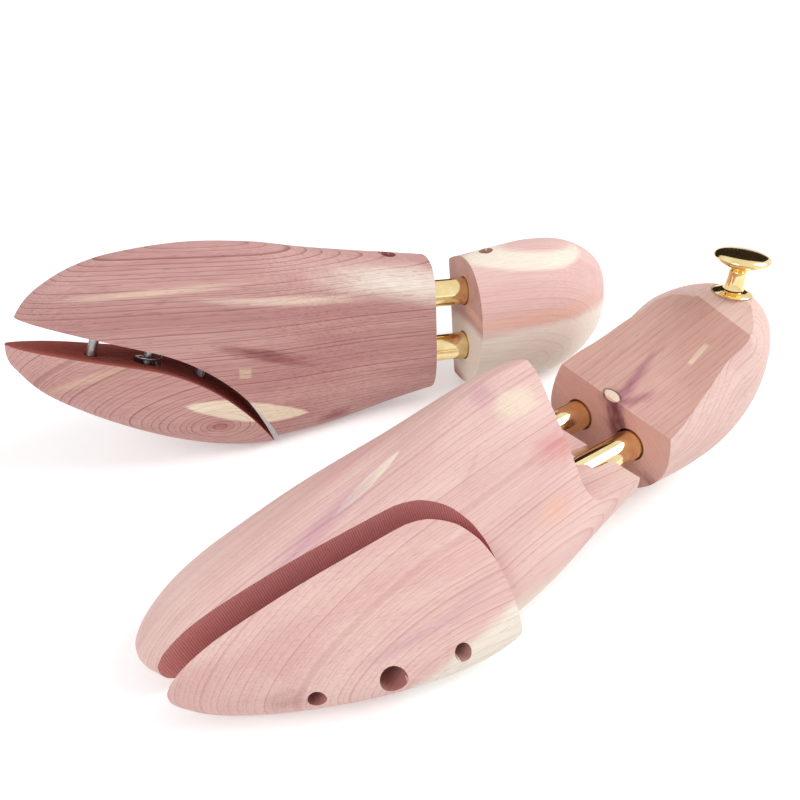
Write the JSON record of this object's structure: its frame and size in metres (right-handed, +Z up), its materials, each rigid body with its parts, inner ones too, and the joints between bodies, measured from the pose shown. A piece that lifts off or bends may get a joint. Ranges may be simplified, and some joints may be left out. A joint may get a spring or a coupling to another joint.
{
  "type": "shoe tree",
  "caption": "Cedar shoe trees, left and right, with split sprung toes, spring-loaded tubes and knobbed heels, that fill and gently stretch shoes between wearings.",
  "frame": {"origin": "middle of the flat on the sole of the left tree's forepart, on the floor", "axes": "+X from the left tree's toe to its heel along its tubes, +Y to the left tree's inner side, +Z up"},
  "size_m": [0.2993, 0.2093, 0.0929],
  "materials": {
    "cedar": "sanded, unfinished, fine straight grain",
    "brass": "polished plating",
    "steel": "bright drawn",
    "nylon": "moulded"
  },
  "bodies": {
    "fixed_parts": {"left_fixed_forepart": "cedar", "left_fore_cross_pin": "steel", "left_front_guide_pin": "steel", "left_rear_guide_pin": "steel", "left_tie_bolt": "steel", "left_tie_insert": "brass", "left_medial_spring_seat": "nylon", "left_lateral_spring_seat": "nylon", "right_fixed_forepart": "cedar", "right_fore_cross_pin": "steel", "right_front_guide_pin": "steel", "right_rear_guide_pin": "steel", "right_tie_bolt": "steel", "right_tie_insert": "brass", "right_medial_spring_seat": "nylon", "right_lateral_spring_seat": "nylon"},
    "left_split": {"left_split_forepart": "cedar", "left_bolt_washer": "steel", "left_split_spring": "steel"},
    "left_heel": {"left_heel_block": "cedar", "left_medial_tube": "brass", "left_lateral_tube": "brass", "left_heel_cross_pin": "steel", "left_medial_spring_plug": "nylon", "left_lateral_spring_plug": "nylon", "left_medial_spring": "steel", "left_lateral_spring": "steel", "left_knob": "brass", "left_knob_flange": "brass", "left_knob_stud": "steel"},
    "right_split": {"right_split_forepart": "cedar", "right_bolt_washer": "steel", "right_split_spring": "steel"},
    "right_heel": {"right_heel_block": "cedar", "right_medial_tube": "brass", "right_lateral_tube": "brass", "right_heel_cross_pin": "steel", "right_medial_spring_plug": "nylon", "right_lateral_spring_plug": "nylon", "right_medial_spring": "steel", "right_lateral_spring": "steel", "right_knob": "brass", "right_knob_flange": "brass", "right_knob_stud": "steel"}
  },
  "joints": [
    {"name": "left_split_slide", "type": "slide", "parent": "fixed_parts", "child": "left_split", "axis": [-0.1874, -0.9823, 0], "range_m": [-0.0075, 0], "stiffness_N_per_m": 1000, "springref_m": 0.015, "deforming": ["left_split_spring"]},
    {"name": "left_heel_slide", "type": "slide", "parent": "fixed_parts", "child": "left_heel", "axis": [1, 0, 0], "range_m": [-0.016, 0], "stiffness_N_per_m": 1500, "springref_m": 0.014, "deforming": ["left_medial_spring", "left_lateral_spring"]},
    {"name": "right_split_slide", "type": "slide", "parent": "fixed_parts", "child": "right_split", "axis": [-0.4314, -0.0885, -0.8978], "range_m": [-0.0025, 0], "stiffness_N_per_m": 1000, "springref_m": 0.015, "deforming": ["right_split_spring"]},
    {"name": "right_heel_slide", "type": "slide", "parent": "fixed_parts", "child": "right_heel", "axis": [0.941, -0.3351, -0.0473], "range_m": [-0.016, 0], "stiffness_N_per_m": 1500, "springref_m": 0.014, "deforming": ["right_medial_spring", "right_lateral_spring"]}
  ]
}
